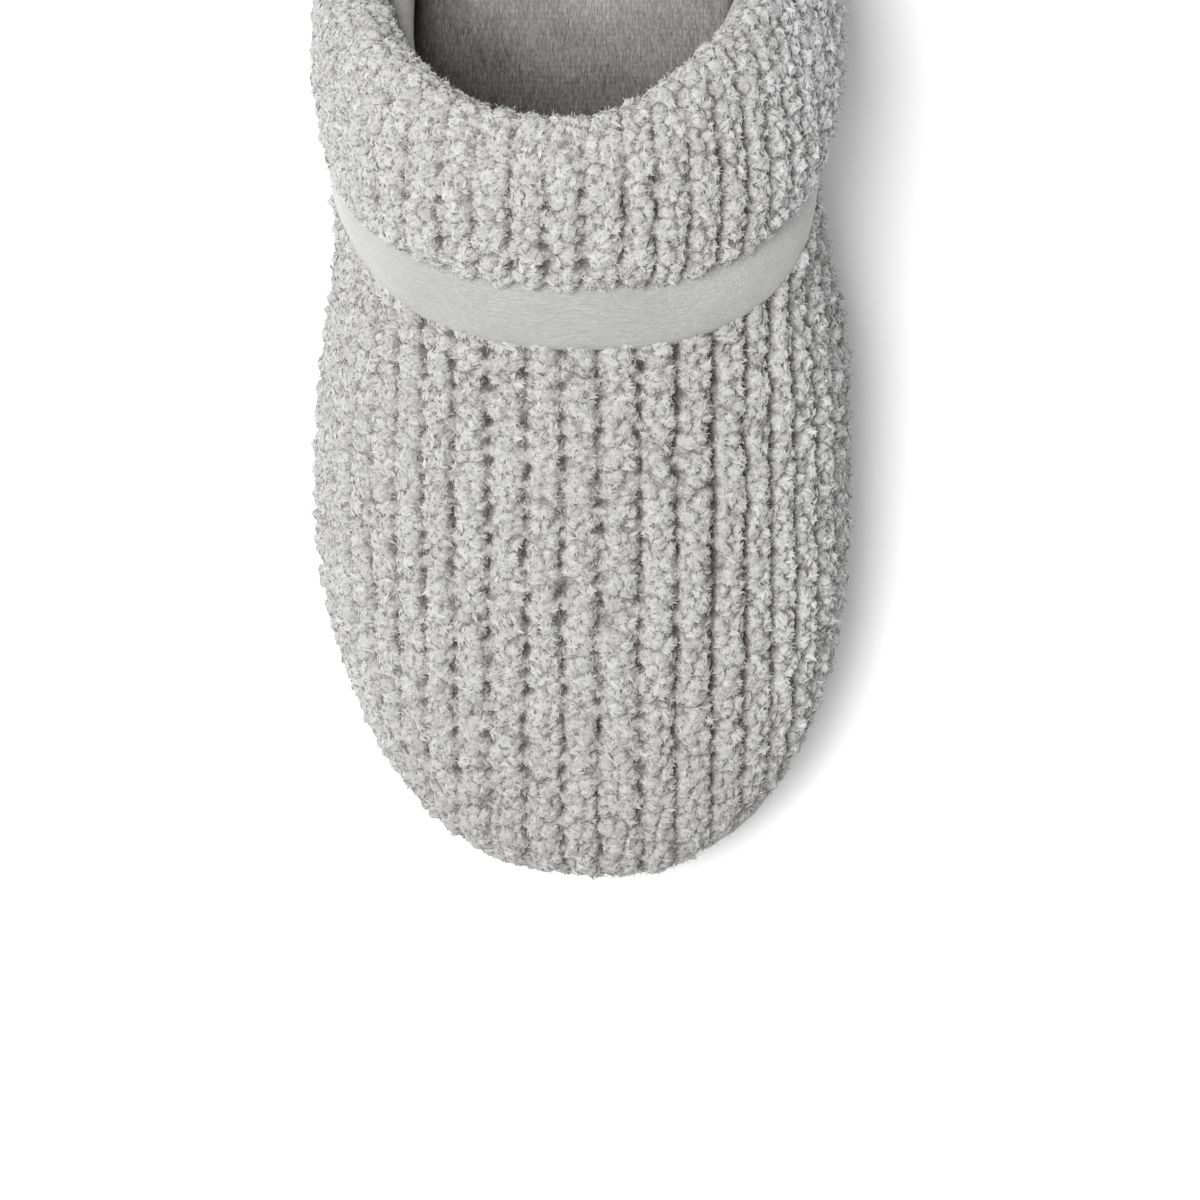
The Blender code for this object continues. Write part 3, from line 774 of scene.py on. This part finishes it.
# light fibres stand up anywhere, darkened in the pits as painted shade; dark ones, real marl fibres gathered
# into crevices and pits as painted shade, run round the bunches
def growFuzz(name, panel, flat):
    roots, up, ground, deep = pickPoints(panel, flat, fuzz, 1)[:4]
    count = len(roots)
    centres, crevice = tufts(ground)
    # dark strands: a few everywhere as real marl fibres, most gathered into crevices and pits as painted
    # shade
    darkShare = np.maximum(easeUp(crevice, *fuzz["darkCreviceShade"]), ease(deep, *fuzz["darkPitShade"]))
    dark = rng.random(count) < fuzz["dark"] * darkShare
    circling = unit(np.cross(up, ground - centres)) + rng.normal(0, fuzz["darkStray"], (count, 3))
    ways = unit(np.where(dark[:, None], circling, up * fuzz["stand"] + rng.normal(0, 1, (count, 3))))
    lengths = fuzz["length"] * rng.uniform(*fuzz["lengths"], count) * (1 - fuzz["pitShort"] * deep)
    widths = fuzz["width"] * rng.uniform(*fuzz["widths"], count)
    tones = fuzz["tone"] + rng.normal(0, fuzz["toneStray"], count) - fuzz["pitPaintedShade"] * deep
    tones = np.where(dark, rng.uniform(*fuzz["darkTone"], count), tones)
    lift = np.where(dark, fuzz["darkLift"], fuzz["lift"])
    return makeFuzz(name, roots + up * lift[:, None], ways, lengths, widths, tones)


grown = [
    growTufts("vampTuftsA", vampPanel, vampFlat, 1, pile["vampTone"]),
    growTufts("vampTuftsB", vampPanel, vampFlat, 1, pile["vampTone"]),
    growTufts("cuffTufts", cuffPanel, cuffFlat, 2, pile["cuffTone"]),
    growFuzz("vampFuzz", vampPanel, vampFlat),
    growFuzz("cuffFuzz", cuffPanel, cuffFlat),
]
for piece in grown:
    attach(piece, "root")
    piece.data.calc_loop_triangles()
    print(piece.name, len(piece.data.loop_triangles), "triangles")

# velour and plush: a brushed nap in strokes, over soft patches
# rows: direction, scale, wobble and share; fade: centre, start, end and the grey added beyond, as painted
# light towards the band's ends and painted shade on the plush towards the throat
velour = {
    "napDetail": 3, "napRough": 0.6, "patch": (110, 4), "patchShare": 0.22, "rowDetail": 2, "rowFine": 1.5,
    "bumpDepth": 0.0006, "finish": {"Roughness": 0.9, "Specular IOR Level": 0.15, "Sheen Roughness": 0.45},
    "band": {
        "dark": (0.268, 0.266, 0.264), "light": (0.478, 0.476, 0.472), "spread": (0.30, 1.00),
        "onMap": True, "stroke": (120, 34, 1), "curl": 1.6, "rows": ("X", 420, 3.0, 0.02),
        # the band's fade: painted light, lighter towards both ends
        "bump": 0.7, "sheen": 0.4, "paintedShading": ((-0.010, -0.06, 0.05), 0.045, 0.072, 0.31),
    },
    "plush": {
        "dark": (0.095, 0.086, 0.081), "light": (0.376, 0.369, 0.367), "spread": (0.28, 0.72),
        "onMap": False, "stroke": (2700, 620, 2700), "curl": 0.9, "rows": ("Y", 300, 5.0, 0.03),
        # the plush's fade: painted shade, darker away from the heel towards the throat and the sides
        "bump": 0.9, "sheen": 0.25, "paintedShading": ((0.012, 0.12, 0.012), 0.080, 0.108, -0.15),
    },
    "facing": {
        "dark": (0.250, 0.245, 0.243), "light": (0.340, 0.334, 0.332), "spread": (0.34, 0.66),
        "onMap": False, "stroke": (1700, 1700, 1700), "curl": 0.3, "bump": 0.6, "sheen": 0.3,
    },
}


def addRows(tree, place, height, way, scale, wobble, share):
    rows = tree.nodes.new("ShaderNodeTexWave")
    rows.wave_type = "BANDS"
    rows.bands_direction = way
    rows.inputs["Scale"].default_value = scale
    rows.inputs["Distortion"].default_value = wobble
    rows.inputs["Detail"].default_value = velour["rowDetail"]
    rows.inputs["Detail Scale"].default_value = velour["rowFine"]
    tree.links.new(place, rows.inputs["Vector"])
    return addShare(tree, rows.outputs["Fac"], share, height)


# grey added with distance from a centre: painted light where the amount is positive, painted shade where it
# is negative
def addPaintedShading(tree, place, height, centre, start, end, amount):
    away = tree.nodes.new("ShaderNodeVectorMath")
    away.operation = "DISTANCE"
    away.inputs[1].default_value = centre
    tree.links.new(place, away.inputs[0])
    paintedShading = tree.nodes.new("ShaderNodeMapRange")
    paintedShading.interpolation_type = "SMOOTHSTEP"
    paintedShading.inputs["From Min"].default_value = start
    paintedShading.inputs["From Max"].default_value = end
    paintedShading.inputs["To Max"].default_value = amount
    tree.links.new(away.outputs["Value"], paintedShading.inputs["Value"])
    shade = tree.nodes.new("ShaderNodeMath")
    shade.operation = "ADD"
    tree.links.new(height, shade.inputs[0])
    tree.links.new(paintedShading.outputs["Result"], shade.inputs[1])
    return shade.outputs["Value"]


def velourMaterial(name, look):
    material, tree, shader = nodeMaterial(name, velour["finish"])
    shader.inputs["Sheen Weight"].default_value = look["sheen"]
    place = objectPlace(tree)
    brush = tree.nodes.new("ShaderNodeMapping")
    brush.inputs["Scale"].default_value = look["stroke"]
    tree.links.new(ownMap(tree) if look["onMap"] else place, brush.inputs["Vector"])
    nap = addNoise(tree, brush.outputs["Vector"], 1.0, velour["napDetail"])
    nap.inputs["Roughness"].default_value = velour["napRough"]
    nap.inputs["Distortion"].default_value = look["curl"]
    patch = addNoise(tree, place, *velour["patch"])
    height = addShare(tree, nap.outputs["Fac"], 1 - velour["patchShare"])
    height = addShare(tree, patch.outputs["Fac"], velour["patchShare"], height)
    if "rows" in look:
        height = addRows(tree, place, height, *look["rows"])
    shade = addPaintedShading(tree, place, height, *look["paintedShading"]) if "paintedShading" in look else height
    addColours(tree, shader, shade, list(zip(look["spread"], (look["dark"], look["light"]))))
    addBump(tree, shader, height, look["bump"], velour["bumpDepth"])
    return material


bandFinish = velourMaterial("bandVelour", velour["band"])
plushFinish = velourMaterial("liningPlush", velour["plush"])
facingFinish = velourMaterial("facingVelour", velour["facing"])

# band: a softly padded velour strip; profile by share of its width and height off the upper
band = {
    "columns": 240, "rows": 30, "profileSize": (11.0, 1.0), "inside": (0, 0, 20),
    "lateralFlat": 0.6, "lateral": (0.3, 0.5), "flatTo": (0.05, 0.45),
    "profile": [
        (-0.05, -0.3), (-0.03, 0.3), (0.0, 1.0), (0.06, 1.5), (0.2, 2.05), (0.4, 2.65), (0.66, 3.0),
        (0.96, 2.6), (1.12, 1.6),
    ],
    "swell": 0.35, "swellSize": 16.0, "ripple": 0.12, "rippleSize": 5.0,
}


def makeBand():
    panel, u, t = gridPanel("bandVelour", band["columns"], band["rows"])
    girth = 2 * u - 1
    share, height = alongProfile(band["profile"], t, band["profileSize"])[:2]
    station = between((lineStation("bandEdge", girth), lineStation("cuffEdge", girth)), share)
    flat = band["lateralFlat"] * ease(-girth, *band["lateral"]) * (1 - ease(share, *band["flatTo"]))
    height = height * (1 - flat)
    places = lastPoint(station, girth, tapered(height, girth))
    height = height + band["swell"] * softNoise(places, band["swellSize"], 51) * np.sin(math.pi * t)
    height = height + band["ripple"] * softNoise(places, band["rippleSize"], 52)
    setPlaces(panel, lastPoint(station, girth, tapered(height, girth)))
    panel.data.shade_smooth()
    faceAway(panel, band["inside"])
    panel.data.materials.append(bandFinish)
    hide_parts("band")
    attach(panel, "root")
    return panel


bandPanel = makeBand()
print("band", len(bandPanel.data.polygons))

# lining: the upper's inner face
lining = {
    "columns": 110, "rows": 80, "rowSweep": 1.5, "pastRim": 1.6, "proud": 0.15, "ripple": 0.25,
    "rippleSize": 9.0, "inside": (0, -20, 22),
}


def makeLining():
    panel, u, t = gridPanel("liningPlush", lining["columns"], lining["rows"])
    girth = 2 * u - 1
    ends = last["wall"], lineStation("rim", girth) + lining["pastRim"]
    station = between(ends, t ** lining["rowSweep"])
    places = lastPoint(station, girth, -last["wall"] - lining["proud"])
    ripple = lining["ripple"] * softNoise(places, lining["rippleSize"], 61)
    setPlaces(panel, places + ripple[:, None] * np.array([0.5, 0, 0.5]))
    weld(panel)
    faceAway(panel, lining["inside"], -1)
    panel.data.materials.append(plushFinish)
    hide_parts("upper")
    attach(panel, "root")
    return panel


liningPanel = makeLining()
print("lining", len(liningPanel.data.polygons))

# facing: the lining's rolled edge, showing inside the cuff along the sides
facing = {
    "columns": 160, "rows": 16, "inset": (3.9, 6.9), "past": 0.6, "radius": (0.6, 3.3), "oval": 1.5,
    "lateral": (0.40, 0.70), "medial": (0.20, 0.80), "endAt": 0.985, "endThin": 0.7, "thinFrom": (0.9, 1.0),
    "lateralDrop": 6.0, "medialDrop": 2.0, "dropped": ((0.3, 0.5), (0.75, 0.95)),
    "ripple": 0.15, "rippleSize": 6.0,
}


def makeFacing():
    panel, u, t = gridPanel("facingRoll", facing["columns"], facing["rows"])
    girth = (2 * u - 1) * facing["endAt"]
    reach = np.abs(girth)
    full = np.where(girth < 0, ease(-girth, *facing["lateral"]), ease(girth, *facing["medial"]))
    full *= 1 - facing["endThin"] * ease(reach, *facing["thinFrom"])
    radius = between(facing["radius"], full)
    inset = between(facing["inset"], full)
    turn = 2 * math.pi * t
    station = lineStation("rim", girth) + facing["past"] + radius * np.cos(turn) * facing["oval"]
    places = lastPoint(station, girth, -inset - radius * np.sin(turn))
    drop = np.where(girth < 0, facing["lateralDrop"], facing["medialDrop"])
    places[:, 2] -= drop * fadeEnds(reach, *facing["dropped"])
    ripple = facing["ripple"] * softNoise(places, facing["rippleSize"], 81)
    setPlaces(panel, places + ripple[:, None] * np.array([1.0, 0.0, 0.5]))
    weld(panel, closed=True)
    panel.data.materials.append(facingFinish)
    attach(panel, "root")
    return panel


facingRoll = makeFacing()
print("facing", len(facingRoll.data.polygons))

# insole: the footbed's solid, rounded off and covered in plush
insole = {
    "levels": 2, "sag": 0.35, "sagSize": 24.0, "ripple": 0.12, "rippleSize": 5.0,
    "faceAngle": math.radians(50), "shapeAngle": math.radians(60), "facesUp": (0.2, 0.9),
}


def makeInsole():
    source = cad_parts["insole"]
    piece = source.copy()
    piece.data = source.data.copy()
    piece.name = "insolePlush"
    piece.data.name = "insolePlush"
    scene.collection.objects.link(piece)
    piece.parent = None
    piece.data.materials.clear()
    editAll(piece)
    bpy.ops.mesh.remove_doubles(threshold=weldGap)
    bpy.ops.mesh.tris_convert_to_quads(face_threshold=insole["faceAngle"],
                                       shape_threshold=insole["shapeAngle"])
    bpy.ops.object.mode_set(mode="OBJECT")
    smooth = piece.modifiers.new("round", "SUBSURF")
    smooth.levels = insole["levels"]
    smooth.render_levels = insole["levels"]
    bpy.ops.object.modifier_apply(modifier="round")
    places, normals = getPlaces(piece), getNormals(piece)
    dent = insole["sag"] * softNoise(places, insole["sagSize"], 71)
    dent = dent + insole["ripple"] * softNoise(places, insole["rippleSize"], 72)
    dent = dent * ease(normals[:, 2], *insole["facesUp"])
    setPlaces(piece, places + normals * dent[:, None])
    piece.data.shade_smooth()
    piece.data.materials.append(plushFinish)
    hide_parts("insole")
    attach(piece, "root")
    return piece


insolePiece = makeInsole()
print("insole", len(insolePiece.data.polygons))

# outsole: moulded rubber with a fine grain
rubber = {
    "greys": [(0.3, (0.385, 0.378, 0.372)), (0.7, (0.462, 0.455, 0.449))], "scuffs": (60, 5),
    "grain": (1400, 3), "bump": (0.35, 0.0002), "finish": {"Roughness": 0.62, "Specular IOR Level": 0.35},
}


def rubberMaterial():
    material, tree, shader = nodeMaterial("soleRubber", rubber["finish"])
    place = objectPlace(tree)
    scuffs = addNoise(tree, place, *rubber["scuffs"])
    grain = addNoise(tree, place, *rubber["grain"])
    addColours(tree, shader, scuffs.outputs["Fac"], rubber["greys"])
    addBump(tree, shader, grain.outputs["Fac"], *rubber["bump"])
    return material


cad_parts["outsole"].material_slots[0].material = rubberMaterial()
print("outsole finished")

# white sweep, big soft light from the left, camera straight above
studio = {
    "floor": {"Base Color": (0.95, 0.95, 0.95, 1), "Roughness": 0.9, "Specular IOR Level": 0.1},
    "floorSize": 8, "world": 0.50,
    "key": {"place": (-0.57, -0.10, 1.50), "aim": (0.0, -0.03, 0.0), "size": 1.1, "power": 38.7},
    "camera": {"place": (0.0037, -0.07595, 1.5), "lens": 227.6, "sensor": 36, "farthest": 20},
}


def makeStudio():
    bpy.ops.mesh.primitive_plane_add(size=studio["floorSize"], location=(0, 0, 0))
    floor = bpy.context.active_object
    floor.name = "floor"
    floor.data.materials.append(nodeMaterial("paper", studio["floor"])[0])
    sky = bpy.data.worlds.new("studio")
    sky.use_nodes = True
    backdrop = sky.node_tree.nodes["Background"]
    backdrop.inputs["Color"].default_value = (1, 1, 1, 1)
    backdrop.inputs["Strength"].default_value = studio["world"]
    scene.world = sky
    key = studio["key"]
    bpy.ops.object.light_add(type="AREA", location=key["place"])
    lamp = bpy.context.active_object
    lamp.name = "softbox"
    lamp.data.shape = "SQUARE"
    lamp.data.size = key["size"]
    lamp.data.energy = key["power"]
    x, y, z = np.array(key["aim"]) - np.array(key["place"])
    lamp.rotation_euler = (math.atan2(math.hypot(x, y), -z), 0, math.atan2(x, -y) + math.pi)
    bpy.ops.object.camera_add(location=studio["camera"]["place"], rotation=(0, 0, 0))
    camera = bpy.context.active_object
    camera.name = "camera"
    camera.data.sensor_width = studio["camera"]["sensor"]
    camera.data.lens = studio["camera"]["lens"]
    camera.data.clip_end = studio["camera"]["farthest"]
    scene.camera = camera
    scene.view_settings.view_transform = "Standard"


makeStudio()
print("studio ready")
